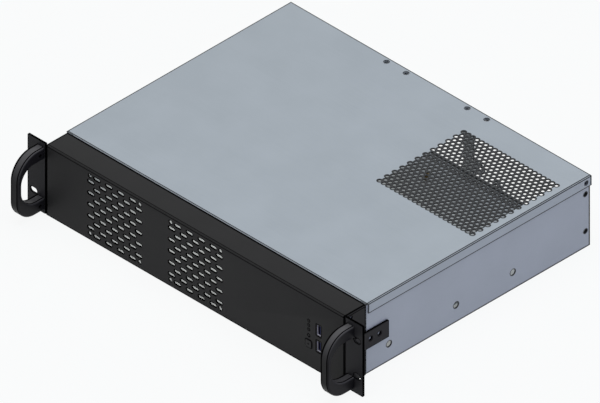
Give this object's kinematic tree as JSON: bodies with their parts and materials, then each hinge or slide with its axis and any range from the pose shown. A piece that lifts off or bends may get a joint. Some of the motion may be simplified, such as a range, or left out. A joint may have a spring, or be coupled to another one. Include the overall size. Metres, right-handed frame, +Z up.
{
  "type": "empty rackmount server case",
  "caption": "Short two-unit rackmount case with black vented front panel, rack ears, bow handles and a lift-off silver cover with a perforated field.",
  "frame": {"origin": "under the middle of the outline, on the underside of the floor", "axes": "+X to the right seen from the front, along the width; +Y to the rear; +Z up"},
  "size_m": [0.4826, 0.3916, 0.088],
  "materials": {
    "zinc_steel": "satin zinc-plated sheet",
    "black_steel": "matt black powder coat",
    "black_alloy": "black anodised",
    "screw_steel": "zinc-plated",
    "brass": "turned",
    "bright_steel": "tinned shell",
    "blue_plastic": "moulded",
    "black_plastic": "moulded",
    "lens_plastic": "tinted lens",
    "green_board": "coated board"
  },
  "bodies": {
    "case": {"chassis_tray": "zinc_steel", "rear_panel": "zinc_steel", "card_ledge": "zinc_steel", "front_panel": "black_steel", "left_ear": "black_steel", "right_ear": "black_steel", "left_handle": "black_alloy", "right_handle": "black_alloy", "handle_screws": "screw_steel", "board_standoffs": "brass", "io_bracket": "zinc_steel", "io_board": "green_board", "io_header": "black_plastic", "lens_holder": "black_plastic", "power_lens": "lens_plastic", "disk_lens": "lens_plastic", "network_lens": "lens_plastic", "power_switch": "black_plastic", "reset_switch": "black_plastic", "upper_usb_shell": "bright_steel", "lower_usb_shell": "bright_steel", "upper_usb_tongue": "blue_plastic", "lower_usb_tongue": "blue_plastic", "drive_bracket": "zinc_steel", "supply_stop": "zinc_steel", "bay_rivets": "screw_steel", "stop_rivets": "screw_steel"},
    "cover": {"top_cover": "zinc_steel"},
    "power_key": {"power_button": "black_plastic"},
    "reset_key": {"reset_button": "black_plastic"}
  },
  "joints": [
    {"name": "cover_lift", "type": "slide", "parent": "case", "child": "cover", "axis": [0, 0, 1], "range_m": [0, 0.12]},
    {"name": "power_push", "type": "slide", "parent": "case", "child": "power_key", "axis": [0, 1, 0], "range_m": [0, 0.0005], "stiffness_N_per_m": 600, "springref_m": -0.001},
    {"name": "reset_push", "type": "slide", "parent": "case", "child": "reset_key", "axis": [0, 1, 0], "range_m": [0, 0.0005], "stiffness_N_per_m": 600, "springref_m": -0.001}
  ]
}
